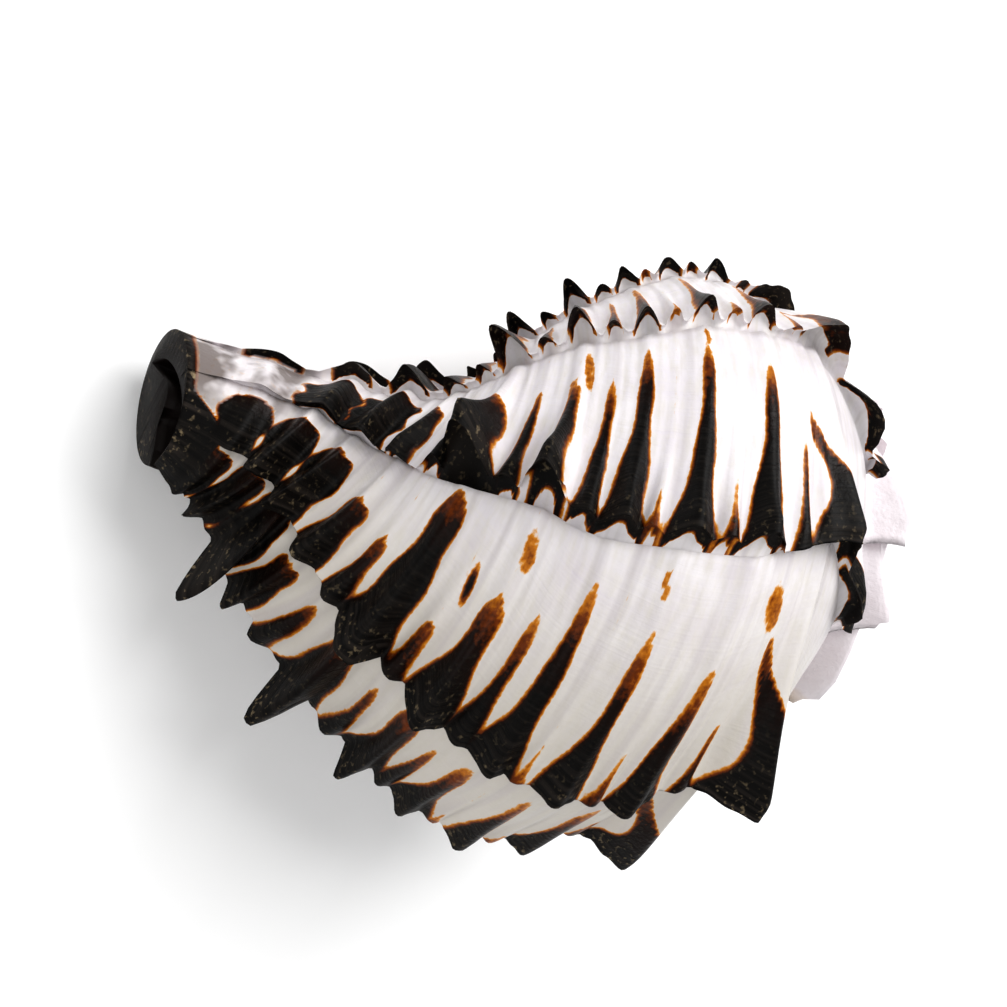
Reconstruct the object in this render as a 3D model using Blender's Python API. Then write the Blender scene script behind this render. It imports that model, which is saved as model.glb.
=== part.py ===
"""Murex shell, lying on its mouth: one grown piece with three-cornered spines on every old lip.

The shell is a coiled surface. A profile, drawn once from the seam down to the end of the canal,
turns around the coil axis while it grows. Nine old lips cross each turn. At each the surface rises
into a frill of hollow spines, then drops back under them and starts again.
"""
import bpy
import math
import numpy as np
from mathutils import Euler

# Driving dimensions. Lengths in the profile are fractions of SHOULDER.
SHOULDER = 0.042
GROWTH_PER_RADIAN = 0.1129
EARLY_GROWTH_PER_RADIAN = 0.085
EARLY_GROWTH_BEFORE = -40.0
REFERENCE_LIP = 72.5
LIP_ANGLES = (-173.0, -130.0, -87.0, -43.0, 0.0, 29.3, 72.5, 116.6, 142.9)
TURNS = 4
APEX_DROP = 0.20
APEX_DROP_BELOW_SIZE = 0.50
CANAL_LENGTH = 3.05
CANAL_BEND = 0.05
CANAL_CURL = 0.035
CANAL_BEND_START = 1.7
CANAL_END_SLOPE = 0.07
CANAL_END_FACES = 50.0
LEAN_AT_LIP = 0.35
SLIT_WIDTH = 0.075
SLIT_FADE = 1.3
WALL = 0.055
LIP_WALL = 0.035
MOUTH_DEPTH = 165.0
MOUTH_COLUMNS = 13
CANAL_WALL = 0.095
CORE_SHARE = 0.28
SPIRE_SPINES = (0.5, 1.0, 1.7)
SPIRE_LEAN = -8.0
SHOULDER_SPINES = (1.0, 1.0, 1.0, 1.0, 0.85, 0.80, 0.55, 1.40, 1.65)
FRILL_HEIGHT = 0.028
FRILL_REACH = 0.10
SEAM_FADE = 0.12
HOLLOW_SHARE = 0.25
FORWARD_SHARE = 0.35
STEP_ANGLE = 0.020
COLUMN_SHARES = (0.50, 0.80, 1.0)
UNDER_SHARES = (0.55, 1.0)
CREST_POWER = 1.1
SWELL_LENGTH = 0.5
SWELL_ENDS = 1.2
LINING_DROP = 0.17
LINING_DROP_ENDS = 0.45
CORE_SHRINKS_OVER = 0.35
BORE_TURN = 255.0
APEX_RISE = 0.03
RAMP_STATIONS = (0.0, 0.16, 0.34)
SHOULDER_STEPS = (-0.13, -0.05, 0.0, 0.05)

# The profile from the seam to the canal's end. Each cord has its radius, its depth below the
# apex, how far its growth lines lean back in degrees, its spine's height and half width, and
# the powers of the growth that its depth and its radius follow.
PROFILE = (
    ("seam", 0.533, 0.810, -0.5, 0.000, 0.05, 1.00, 1.0),
    ("ramp upper", 0.665, 0.905, -3.0, 0.009, 0.06, 1.00, 1.0),
    ("ramp lower", 0.800, 1.055, -4.5, 0.015, 0.06, 1.00, 1.0),
    ("shoulder", 0.910, 1.265, -4.7, 0.130, 0.14, 1.00, 1.0),
    ("below shoulder", 0.955, 1.410, -2.5, 0.031, 0.05, 1.00, 1.0),
    ("second", 0.975, 1.540, -0.5, 0.057, 0.075, 1.00, 1.0),
    ("second minor", 0.973, 1.645, -0.4, 0.030, 0.045, 1.00, 1.0),
    ("third", 0.955, 1.740, -0.4, 0.053, 0.065, 1.00, 1.0),
    ("third minor", 0.920, 1.825, -0.2, 0.028, 0.04, 1.00, 1.0),
    ("fourth", 0.880, 1.900, 0.0, 0.053, 0.06, 1.00, 1.0),
    ("fourth minor", 0.830, 1.985, -0.8, 0.030, 0.045, 1.00, 1.0),
    ("fifth", 0.765, 2.070, -3.0, 0.085, 0.075, 1.00, 1.0),
    ("fifth minor", 0.690, 2.160, -3.9, 0.036, 0.045, 1.00, 1.0),
    ("sixth", 0.600, 2.245, -4.5, 0.106, 0.08, 1.00, 1.0),
    ("sixth minor", 0.510, 2.325, -5.5, 0.031, 0.04, 1.00, 1.0),
    ("neck", 0.410, 2.410, -9.0, 0.050, 0.05, 1.00, 1.0),
    ("canal upper", 0.300, 2.545, -17.0, 0.106, 0.075, 0.80, 0.6),
    ("canal lower", 0.255, 2.710, -30.0, 0.078, 0.08, 0.55, 0.4),
    ("canal minor", 0.230, 2.880, -36.0, 0.030, 0.07, 0.25, 0.2),
    ("canal end", 0.215, CANAL_LENGTH, -38.0, 0.000, 0.07, 0.00, 0.0),
)
# At the last lip the low cords lie less deep and further out: change of depth and of radius.
LAST_CHANGE = {
    "fourth": (0.000, 0.000),
    "fourth minor": (-0.020, 0.000),
    "fifth": (-0.040, 0.020),
    "fifth minor": (-0.040, 0.020),
    "sixth": (-0.020, 0.030),
    "sixth minor": (0.000, 0.000),
    "neck": (0.000, 0.010),
    "canal upper": (-0.010, 0.080),
    "canal lower": (0.000, 0.000),
    "canal minor": (0.000, 0.000),
    "canal end": (0.000, 0.000),
}
NAMES = [cord[0] for cord in PROFILE]
CORDS = np.array([cord[1:] for cord in PROFILE])
STATIONS = np.concatenate([[0.0], np.cumsum(np.hypot(np.diff(CORDS[:, 0]), np.diff(CORDS[:, 1])))])
SEAM_COVER = 0.5 * (STATIONS[NAMES.index("below shoulder")] + STATIONS[NAMES.index("second")])
NECK = STATIONS[NAMES.index("neck")]
CANAL = STATIONS[NAMES.index("canal upper")]
LAST_STATIONS = [STATIONS[NAMES.index(name)] for name in LAST_CHANGE]
LAST_DEPTH, LAST_RADIUS = np.array(list(LAST_CHANGE.values())).T

# Resting attitude of the coil on its mouth, in degrees about X, then Y, then Z, and the finish.
REST_TURN = (72.3, -23.7, -174.5)
SHELL_COLOUR = (0.83, 0.80, 0.79, 1.0)
SHELL_ROUGHNESS = 0.35


def smooth_step(x):
    """Zero up to 0, one from 1, and an even curve between."""
    x = np.clip(x, 0.0, 1.0)
    return x * x * (3.0 - 2.0 * x)


def through_cords(station, column):
    """A column of the profile as a smooth curve that never overshoots its cords."""
    value = CORDS[:, column]
    step = np.diff(STATIONS)
    slope = np.diff(value) / step
    same_way = slope[:-1] * slope[1:] > 0
    before = np.where(same_way, slope[:-1], 1.0)
    after = np.where(same_way, slope[1:], 1.0)
    inner = np.where(same_way, 2.0 * before * after / (before + after), 0.0)
    tangent = np.concatenate([[slope[0]], inner, [slope[-1]]])
    at = np.clip(np.searchsorted(STATIONS, station, side="right") - 1, 0, len(step) - 1)
    t = (station - STATIONS[at]) / step[at]
    start = value[at] * (1 + 2 * t) * (1 - t) ** 2 + step[at] * tangent[at] * t * (1 - t) ** 2
    end = value[at + 1] * t * t * (3 - 2 * t) + step[at] * tangent[at + 1] * t * t * (t - 1)
    return start + end


def growth(angle):
    """Size of the profile at an angle around the axis, one at the reference lip."""
    change = math.radians(EARLY_GROWTH_BEFORE)
    late = GROWTH_PER_RADIAN * (np.maximum(angle, change) - math.radians(REFERENCE_LIP))
    early = EARLY_GROWTH_PER_RADIAN * np.minimum(angle - change, 0.0)
    return np.exp(late + early)


def lean_back(angle, station):
    """How far a growth line lies behind its angle. It straightens near the last lip and its slit."""
    last = math.radians(LIP_ANGLES[-1])
    before = math.radians(LIP_ANGLES[-2])
    near_lip = smooth_step((angle - before) / (last - before))
    near_slit = 1.0 - smooth_step((angle - last + 2.0 * math.pi) / SLIT_FADE)
    share = 1.0 - (1.0 - LEAN_AT_LIP) * np.maximum(near_lip, near_slit)
    return np.radians(through_cords(station, 2)) * share


def plain_surface(angle, station, radius_share=1.0):
    """Points of the shell without its relief."""
    turned = angle + lean_back(angle, station)
    size = growth(turned)
    radius = through_cords(station, 0) * size ** through_cords(station, 6) * radius_share
    depth = through_cords(station, 1) * size ** through_cords(station, 5)
    depth = depth + APEX_DROP * np.clip(1.0 - size / APEX_DROP_BELOW_SIZE, 0.0, 1.0)
    near_end = smooth_step((station - CANAL) / (STATIONS[-1] - CANAL))
    out = radius / CORDS[-1, 0] * np.cos(turned - math.radians(CANAL_END_FACES))
    depth = depth - CANAL_END_SLOPE * near_end * out
    last = math.radians(LIP_ANGLES[-1])
    before = math.radians(LIP_ANGLES[-2])
    at_last = smooth_step((angle - before) / (last - before))
    depth = depth + at_last * np.interp(station, LAST_STATIONS, LAST_DEPTH)
    radius = radius + at_last * np.interp(station, LAST_STATIONS, LAST_RADIUS)
    past = np.clip(depth - CANAL_BEND_START, 0.0, None)
    x = radius * np.cos(turned) + CANAL_BEND * past ** 2 + CANAL_CURL * past ** 3
    y = radius * np.sin(turned)
    return np.stack(np.broadcast_arrays(x, y, -depth), axis=-1)


def directions(angle, station, radius_share=1.0):
    """Point, outward normal and growth direction of the plain surface."""
    nudge = 1e-3
    here = plain_surface(angle, station, radius_share)
    ahead = plain_surface(angle + nudge, station, radius_share)
    behind = plain_surface(angle - nudge, station, radius_share)
    below = plain_surface(angle, station + nudge, radius_share)
    above = plain_surface(angle, station - nudge, radius_share)
    forward = ahead - behind
    normal = np.cross(below - above, forward)
    forward = forward / np.linalg.norm(forward, axis=-1, keepdims=True)
    normal = normal / np.linalg.norm(normal, axis=-1, keepdims=True)
    return here, normal, forward


def frill(station, lip):
    """Height of a lip's edge above the plain surface: a low frill with a pointed spine per cord."""
    away = np.abs(np.asarray(station)[..., None] - STATIONS) / CORDS[:, 4]
    height = CORDS[:, 3].copy()
    height[NAMES.index("shoulder")] *= SHOULDER_SPINES[lip]
    points = height * np.clip(1.0 - away, 0.0, 1.0) ** CREST_POWER
    station = np.asarray(station)
    fade = smooth_step(station / SEAM_FADE) * smooth_step((STATIONS[-1] - station) / SEAM_FADE)
    return (FRILL_HEIGHT + points.max(axis=-1)) * fade


def lip_pattern():
    """Columns of one turn: the angle, the share of the way to the lip, the lip, and the step under it."""
    columns = []
    before = LIP_ANGLES[-1] - 360.0
    for lip, angle in enumerate(LIP_ANGLES):
        for share in COLUMN_SHARES:
            columns.append((before + share * (angle - before), angle, 0.0, lip))
        for share in UNDER_SHARES:
            columns.append((angle + share * math.degrees(STEP_ANGLE), angle, share, lip))
        before = angle
    return columns


def raised(angle, lip_angle, under, station, lip, spines):
    """Points of the outer surface: plain surface plus the frill, or the hollow under the frill."""
    here, normal, forward = directions(angle, station)
    size = growth(angle + lean_back(angle, station))[..., None]
    edge = frill(station, lip)[..., None] * spines
    arc = (np.maximum(lip_angle - angle, 0.0) * through_cords(station, 0))[..., None]
    rise = np.exp(-arc / FRILL_REACH) * smooth_step(SWELL_ENDS - arc / SWELL_LENGTH)
    height = np.where(under > 0.0, edge * (1.0 - under), edge * rise)
    hollow = HOLLOW_SHARE * through_cords(station, 0)[..., None] * np.sin(math.pi * under)
    set_back = np.where(under > 0.0, -edge * hollow, 0.0)
    lean_on = FORWARD_SHARE * height + set_back
    return here + size * (height * normal + lean_on * forward)


def profile_rows():
    """Stations of the rows: a few on the ramp, then each cord and the furrow before it."""
    shoulder = STATIONS[NAMES.index("shoulder")]
    minor = STATIONS[NAMES.index("below shoulder")]
    top = [*RAMP_STATIONS, *(shoulder + step for step in SHOULDER_STEPS), minor, SEAM_COVER]
    rest = []
    for cord in range(NAMES.index("second"), len(NAMES)):
        if rest:
            rest.append(0.5 * (STATIONS[cord - 1] + STATIONS[cord]))
        rest.append(STATIONS[cord])
    rest[-1] -= 1e-6
    return np.array(top + rest), len(top) - 1


def on_canal(station):
    """Zero on the whorl, one from the canal's first cord on."""
    return smooth_step((station - NECK) / (CANAL - NECK))


def slit_shift(angle, station):
    """Turn that keeps the canal's inner edge clear of its outer edge, fading away from the slit."""
    start = math.radians(LIP_ANGLES[-1] - 360.0)
    fade = 1.0 - smooth_step((angle - start) / SLIT_FADE)
    return SLIT_WIDTH / through_cords(station, 0) * on_canal(station) * fade


def spire_window(station):
    """One on the shoulder of the early whorls and zero at the seams above and below it."""
    shoulder = STATIONS[NAMES.index("shoulder")]
    return smooth_step(station / shoulder) * smooth_step((SEAM_COVER - station) / (SEAM_COVER - shoulder))


def outer_points(rows, cover):
    """Every column of every turn. Whorls under the next turn stop where its seam covers them."""
    pattern = lip_pattern()
    per_turn = len(pattern)
    total = TURNS * per_turn
    points = []
    index = []
    for column in range(total):
        turn, place = divmod(column, per_turn)
        angle, lip_angle, under, lip = pattern[place]
        back = 360.0 * (TURNS - 1 - turn)
        angle = math.radians(angle - back)
        lip_angle = math.radians(lip_angle - back)
        whole = column >= total - 1 - per_turn
        stations = rows if whole else rows[:cover + 1]
        spines = np.ones(len(stations))
        if turn < TURNS - 1:
            spines = SPIRE_SPINES[turn] * spire_window(stations)
        shift = slit_shift(angle, stations) if whole else 0.0
        if turn < TURNS - 1:
            shift = shift + math.radians(SPIRE_LEAN) * spire_window(stations)
        places = raised(angle + shift, lip_angle + shift, under, stations, lip, spines[:, None])
        if column >= per_turn:
            rail = [index[column - per_turn][cover]]
        else:
            rail = [len(points)]
            points.append(places[0])
        for place_now in places[1:]:
            rail.append(len(points))
            points.append(place_now)
        index.append(rail)
    return points, index


def mouth_points(points, index, rows, cover, per_turn):
    """Inside of the mouth: the old whorl and the core on one side, the last whorl's inside on the other."""
    core = []
    outer = []
    step = math.radians(MOUTH_DEPTH) / MOUTH_COLUMNS
    lip = math.radians(LIP_ANGLES[-1]) + STEP_ANGLE
    start = index[-1 - per_turn]
    canal = on_canal(rows)
    behind_slit = SLIT_WIDTH / through_cords(rows, 0) * canal
    for column in range(MOUTH_COLUMNS + 1):
        back = step * column
        if column == 0:
            core.append(start[cover + 1:])
        else:
            stations = rows[cover + 1:]
            shrink = smooth_step(back / CORE_SHRINKS_OVER) * canal[cover + 1:]
            share = 1.0 - (1.0 - CORE_SHARE) * shrink
            angle = lip - 2.0 * math.pi - back + behind_slit[cover + 1:]
            places = plain_surface(angle, stations, share)
            core.append([len(points) + row for row in range(len(places))])
            points.extend(places)
        inner = rows + LINING_DROP * np.clip(1.0 - rows / LINING_DROP_ENDS, 0.0, 1.0)
        wall = LIP_WALL if column == 0 else WALL
        thickness = wall + (CANAL_WALL - wall) * canal
        here, normal, forward = directions(lip - back, inner)
        size = growth(lip - back)
        places = here - normal * (thickness * (size * (1 - canal) + canal))[:, None]
        rail = [core[-1][0]]
        for place_now in places[1:]:
            rail.append(len(points))
            points.append(place_now)
        outer.append(rail)
    return core, outer


def quads_between(first, second):
    """Faces between two rows of points of the same length."""
    return [
        (first[k], first[k + 1], second[k + 1], second[k])
        for k in range(len(first) - 1)
    ]


def stitch(first, first_way, second, second_way):
    """Triangles between two rows of points that end in the same point, in step with their ways."""
    faces = []
    one = 0
    two = 0
    while one < len(first) - 2 or two < len(second) - 2:
        behind = first_way[one + 1] <= second_way[two + 1]
        if two >= len(second) - 2 or (one < len(first) - 2 and behind):
            faces.append((first[one], first[one + 1], second[two]))
            one += 1
        else:
            faces.append((first[one], second[two + 1], second[two]))
            two += 1
    faces.append((first[one], first[-1], second[two]))
    return faces


def shell_mesh():
    """Points and faces of the whole shell, closed."""
    rows, cover = profile_rows()
    per_turn = len(lip_pattern())
    points, index = outer_points(rows, cover)
    core, inside = mouth_points(points, index, rows, cover, per_turn)
    faces = []
    total = len(index)
    for column in range(total - 1):
        width = cover + 1
        if column >= total - 1 - per_turn:
            width = len(rows)
        faces += quads_between(index[column][:width], index[column + 1][:width])
    for column in range(MOUTH_COLUMNS):
        faces += quads_between(core[column + 1], core[column])
        faces += quads_between(inside[column], inside[column + 1])
    faces += quads_between(index[-1], inside[0])
    corner = inside[-1][0]
    for row in range(1, cover + 1):
        faces.append((corner, inside[-1][row], inside[-1][row + 1]))
    faces += quads_between(inside[-1][cover + 1:], core[-1])
    rim = [index[total - 1 - k][-1] for k in range(per_turn + 1)]
    turned = np.array([column[0] for column in lip_pattern()])
    rim_way = np.append(turned[-1] - turned[::-1], 360.0)
    bore = [rail[-1] for rail in inside] + [rail[-1] for rail in reversed(core)]
    bore_way = np.linspace(0.0, MOUTH_DEPTH, MOUTH_COLUMNS + 1)
    bore_way = np.append(bore_way, np.linspace(BORE_TURN, 360.0, MOUTH_COLUMNS + 1))
    faces += stitch(rim, rim_way, bore, bore_way)
    loop = list(index[0]) + [index[k][0] for k in range(per_turn - 1, 0, -1)]
    ring = np.array([points[k] for k in loop])
    apex = len(points)
    points.append(np.array([ring[:, 0].mean(), ring[:, 1].mean(), ring[:, 2].max() + APEX_RISE]))
    for k in range(len(loop)):
        faces.append((loop[(k + 1) % len(loop)], loop[k], apex))
    return np.array(points) * SHOULDER, faces


def at_rest(points):
    """The coil turned onto its mouth, standing on the floor with its middle over the origin."""
    turn = Euler([math.radians(angle) for angle in REST_TURN]).to_matrix()
    turned = points @ np.array(turn).T
    low = turned.min(axis=0)
    high = turned.max(axis=0)
    return turned - np.array([(low[0] + high[0]) / 2, (low[1] + high[1]) / 2, low[2]])


def shell_material():
    """Porcelain-like shell: pale, smooth, not metallic."""
    material = bpy.data.materials.new("glossy white shell")
    material.use_nodes = True
    surface = material.node_tree.nodes["Principled BSDF"]
    surface.inputs["Base Color"].default_value = SHELL_COLOUR
    surface.inputs["Roughness"].default_value = SHELL_ROUGHNESS
    surface.inputs["Metallic"].default_value = 0.0
    return material


def build():
    """The one object of the part."""
    for old in list(bpy.data.objects):
        bpy.data.objects.remove(old, do_unlink=True)
    points, faces = shell_mesh()
    mesh = bpy.data.meshes.new("murex_shell")
    mesh.from_pydata(at_rest(points).tolist(), [], faces)
    mesh.shade_smooth()
    mesh.set_sharp_from_angle(angle=math.radians(45.0))
    mesh.materials.append(shell_material())
    shell = bpy.data.objects.new("murex_shell", mesh)
    bpy.context.scene.collection.objects.link(shell)


build()
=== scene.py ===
# %% [markdown]
# # A black and white murex shell
#
# A murex is a sea snail, and its shell is one piece that grew with it. The snail lays new shell
# along the lip of its mouth while the whole coil turns and gets larger. Every so often it stops
# and raises the lip into a row of hollow spines, so nine old lips cross each turn here. This
# lesson builds that surface from the growth itself: a profile is carried round the axis, gets
# larger as it goes, and rises at every old lip.

# %% Start with the part's frame
import math

import bpy
import numpy as np
from mathutils import Euler, Matrix, Vector


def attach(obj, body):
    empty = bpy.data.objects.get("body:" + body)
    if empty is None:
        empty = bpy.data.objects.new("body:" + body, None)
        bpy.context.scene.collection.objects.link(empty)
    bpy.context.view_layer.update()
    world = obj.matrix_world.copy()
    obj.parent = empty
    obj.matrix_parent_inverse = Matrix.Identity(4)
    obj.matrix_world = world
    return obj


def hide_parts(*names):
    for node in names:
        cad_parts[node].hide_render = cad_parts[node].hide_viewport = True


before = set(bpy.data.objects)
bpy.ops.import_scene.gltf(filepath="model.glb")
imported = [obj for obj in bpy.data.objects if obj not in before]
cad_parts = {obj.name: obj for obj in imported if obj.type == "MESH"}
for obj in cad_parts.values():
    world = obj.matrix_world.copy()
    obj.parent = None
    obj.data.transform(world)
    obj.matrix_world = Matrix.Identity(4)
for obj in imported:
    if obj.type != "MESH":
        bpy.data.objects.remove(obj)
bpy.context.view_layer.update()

# %% [markdown]
# ## The profile
#
# Cut across the last turn, and the wall of the shell draws one long curve: from the seam where
# it meets the turn before, over the sloping ramp to the shoulder, down the round body and along
# the canal. Spiral cords stand on it at certain places. A lathe tool could turn such a curve,
# but a shell's profile also grows and leans, so a table of cords and a smooth curve through them
# serve better. Lengths are shares of the shell's radius at its reference lip.

# %% Profile of the whorl
SHOULDER_RADIUS = 0.042
CANAL_LENGTH = 3.05

# cord: radius, depth below the apex, lean of its growth lines in degrees, height and half width
# of its spines, and the powers of the growth that its depth and its radius follow
PROFILE = {
    "seam": (0.533, 0.810, -0.5, 0.000, 0.050, 1.00, 1.0),
    "ramp upper": (0.665, 0.905, -3.0, 0.045, 0.080, 1.00, 1.0),
    "ramp lower": (0.800, 1.055, -4.5, 0.055, 0.085, 1.00, 1.0),
    "shoulder": (0.910, 1.265, -4.7, 0.175, 0.140, 1.00, 1.0),
    "below shoulder": (0.955, 1.410, -2.5, 0.042, 0.050, 1.00, 1.0),
    "second": (0.975, 1.540, -0.5, 0.078, 0.075, 1.00, 1.0),
    "second minor": (0.973, 1.645, -0.4, 0.040, 0.045, 1.00, 1.0),
    "third": (0.955, 1.740, -0.4, 0.072, 0.065, 1.00, 1.0),
    "third minor": (0.920, 1.825, -0.2, 0.038, 0.040, 1.00, 1.0),
    "fourth": (0.880, 1.900, 0.0, 0.072, 0.060, 1.00, 1.0),
    "fourth minor": (0.830, 1.985, -0.8, 0.040, 0.045, 1.00, 1.0),
    "fifth": (0.765, 2.070, -3.0, 0.115, 0.075, 1.00, 1.0),
    "fifth minor": (0.690, 2.160, -3.9, 0.048, 0.045, 1.00, 1.0),
    "sixth": (0.600, 2.245, -4.5, 0.145, 0.080, 1.00, 1.0),
    "sixth minor": (0.510, 2.325, -5.5, 0.042, 0.040, 1.00, 1.0),
    "neck": (0.410, 2.410, -9.0, 0.068, 0.050, 1.00, 1.0),
    "canal upper": (0.300, 2.545, -17.0, 0.145, 0.075, 0.80, 0.6),
    "canal lower": (0.255, 2.710, -30.0, 0.105, 0.080, 0.55, 0.4),
    "canal minor": (0.230, 2.880, -36.0, 0.040, 0.070, 0.25, 0.2),
    "canal end": (0.215, CANAL_LENGTH, -38.0, 0.000, 0.070, 0.00, 0.0),
}
RADIUS, DEPTH, LEAN, TALL, WIDE, DEPTH_POWER, RADIUS_POWER = range(7)
CORD = {name: number for number, name in enumerate(PROFILE)}
CORDS = np.array(list(PROFILE.values()))
# a station is a length along the profile, from the seam on
steps = np.diff(CORDS[:, :LEAN], axis=0)
STATIONS = np.append(0.0, np.cumsum(np.hypot(*steps.T)))
MILLIMETRES = 1000.0 * SHOULDER_RADIUS
AT = dict(zip(PROFILE, STATIONS))
# the next turn's seam lies on this station, and that turn covers the rest
SEAM_COVER = 0.5 * (AT["below shoulder"] + AT["second"])
print("profile is", round(MILLIMETRES * STATIONS[-1], 1), "mm long")


def smooth_step(x):
    """Zero up to 0, one from 1, and 3 x squared less 2 x cubed between."""
    x = np.clip(x, 0.0, 1.0)
    return x * x * (3.0 - 2.0 * x)


def window(x, start, rise, end, fall):
    """One between start and end: a smooth step over the rise times one less one over the fall."""
    return smooth_step((x - start) / rise) * (1.0 - smooth_step((x - end) / fall))


def through_cords(station, column):
    """A column of the profile at a station: a cubic between each two cords.

    Its slope at a cord is the harmonic mean of the slopes on both sides, or zero where these
    point different ways, so the curve never overshoots a cord.
    """
    value = CORDS[:, column]
    step = np.diff(STATIONS)
    slope = np.diff(value) / step
    same_way = slope[:-1] * slope[1:] > 0
    before = np.where(same_way, slope[:-1], 1.0)
    after = np.where(same_way, slope[1:], 1.0)
    inner = np.where(same_way, 2.0 * before * after / (before + after), 0.0)
    tangent = np.concatenate([[slope[0]], inner, [slope[-1]]])
    at = np.clip(np.searchsorted(STATIONS, station, side="right") - 1, 0, len(step) - 1)
    t = (station - STATIONS[at]) / step[at]
    start = value[at] * (1 + 2 * t) * (1 - t) ** 2 + step[at] * tangent[at] * t * (1 - t) ** 2
    end = value[at + 1] * t * t * (3 - 2 * t) + step[at] * tangent[at + 1] * t * t * (t - 1)
    return start + end


# %% [markdown]
# ## Growth
#
# A snail keeps its shape while it grows, so each turn is a larger copy of the one before. In
# numbers the size is an exponential of the angle round the axis. A growth line is a place where
# the lip once was. It leans back a little on the ramp and a lot on the canal, and it stands
# straighter at the last lip, where the mouth opens.

# %% Surface of the coil without its relief
GROWTH_PER_RADIAN = 0.1129
EARLY_GROWTH_PER_RADIAN = 0.085
EARLY_GROWTH_BEFORE = math.radians(-40.0)
REFERENCE_LIP = math.radians(72.5)
LIP_ANGLES = np.radians([-173.0, -130.0, -87.0, -43.0, 0.0, 29.3, 72.5, 116.6, 142.9])
LIPS = len(LIP_ANGLES)
# the five lips of the side that lies on top, in the order in which they grew
LIP_A, LIP_B, LIP_C, LIP_D, LIP_E = range(LIPS - 5, LIPS)
LAST_LIP = LIP_ANGLES[LIP_E]
FULL_TURN = 2.0 * math.pi
TURN_START = LAST_LIP - FULL_TURN
APEX_DROP = 0.20
APEX_DROP_BELOW_SIZE = 0.50
CANAL_BEND = 0.05
CANAL_CURL = 0.035
CANAL_BEND_START = 1.7
CANAL_END_SLOPE = 0.07
CANAL_END_FACES = math.radians(50.0)
LEAN_AT_LIP = 0.35
SLIT_WIDTH = 0.075
SLIT_FADE = 1.3
# steps that give the directions: the one down the profile is wide, so a sharp cord is evened out
ANGLE_NUDGE = 1e-3
STATION_NUDGE = 0.04

# low cords at the last lip: change of depth and of radius against the rest of the turn
LAST_CHANGE = {
    "fourth": (0.000, 0.000),
    "fourth minor": (-0.020, 0.000),
    "fifth": (-0.040, 0.020),
    "fifth minor": (-0.040, 0.020),
    "sixth": (-0.020, 0.030),
    "sixth minor": (0.000, 0.000),
    "neck": (0.000, 0.010),
    "canal upper": (-0.010, 0.080),
    "canal lower": (0.000, 0.000),
    "canal minor": (0.000, 0.000),
    "canal end": (0.000, 0.000),
}
LAST_STATIONS = [AT[name] for name in LAST_CHANGE]
LAST_DEPTH, LAST_RADIUS = np.array(list(LAST_CHANGE.values())).T


def growth(angle):
    """Size of the profile at an angle: the exponential of a rate times the angle."""
    late = GROWTH_PER_RADIAN * (np.maximum(angle, EARLY_GROWTH_BEFORE) - REFERENCE_LIP)
    early = EARLY_GROWTH_PER_RADIAN * np.minimum(angle - EARLY_GROWTH_BEFORE, 0.0)
    return np.exp(late + early)


def to_last_lip(angle):
    """Zero up to the lip before the last and one at the last, with a smooth step between."""
    return smooth_step((angle - LIP_ANGLES[LIP_D]) / (LAST_LIP - LIP_ANGLES[LIP_D]))


def from_slit(angle):
    """Zero at the slit, where the last turn starts, and one well past it, by a smooth step."""
    return smooth_step((angle - TURN_START) / SLIT_FADE)


def lean_back(angle, station):
    """Angle by which a growth line lies behind: the cord's lean, less of it near lip and slit."""
    near = np.maximum(to_last_lip(angle), 1.0 - from_slit(angle))
    return np.radians(through_cords(station, LEAN)) * (1.0 - (1.0 - LEAN_AT_LIP) * near)


def plain_surface(angle, station, radius_share=1.0):
    """Radius and depth of the profile times powers of its growth, turned round the axis.

    Past a depth the canal bends aside by the square and the cube of what is past.
    """
    turned = angle + lean_back(angle, station)
    size = growth(turned)
    radius = through_cords(station, RADIUS) * size ** through_cords(station, RADIUS_POWER)
    radius = radius * radius_share
    depth = through_cords(station, DEPTH) * size ** through_cords(station, DEPTH_POWER)
    depth = depth + APEX_DROP * np.clip(1.0 - size / APEX_DROP_BELOW_SIZE, 0.0, 1.0)
    near_end = smooth_step((station - AT["canal upper"]) / (STATIONS[-1] - AT["canal upper"]))
    out = radius / CORDS[-1, RADIUS] * np.cos(turned - CANAL_END_FACES)
    depth = depth - CANAL_END_SLOPE * near_end * out
    at_last = to_last_lip(angle)
    depth = depth + at_last * np.interp(station, LAST_STATIONS, LAST_DEPTH)
    radius = radius + at_last * np.interp(station, LAST_STATIONS, LAST_RADIUS)
    past = np.clip(depth - CANAL_BEND_START, 0.0, None)
    x = radius * np.cos(turned) + CANAL_BEND * past ** 2 + CANAL_CURL * past ** 3
    y = radius * np.sin(turned)
    return np.stack(np.broadcast_arrays(x, y, -depth), axis=-1)


def unit(vectors):
    """Each vector divided by its own length."""
    return vectors / np.linalg.norm(vectors, axis=-1, keepdims=True)


def directions(angle, station):
    """Point, outward normal, growth direction and downward direction, from small differences."""
    ahead = plain_surface(angle + ANGLE_NUDGE, station)
    behind = plain_surface(angle - ANGLE_NUDGE, station)
    below = plain_surface(angle, np.minimum(station + STATION_NUDGE, STATIONS[-1]))
    above = plain_surface(angle, np.maximum(station - STATION_NUDGE, 0.0))
    forward = ahead - behind
    down = below - above
    normal = unit(np.cross(down, forward))
    return plain_surface(angle, station), normal, unit(forward), unit(down)


print("each turn is", round(float(np.exp(GROWTH_PER_RADIAN * FULL_TURN)), 2), "times the last")

# %% [markdown]
# ## Columns and rows
#
# The surface is a grid. A row follows a cord round the shell, and a column is the line of the
# lip at one moment. Columns crowd together towards every old lip, because the spines rise in the
# last few millimetres, and a few more run back under each frill. Rows stand wide apart on the
# smooth ramp and close together where the cords are.

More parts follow.
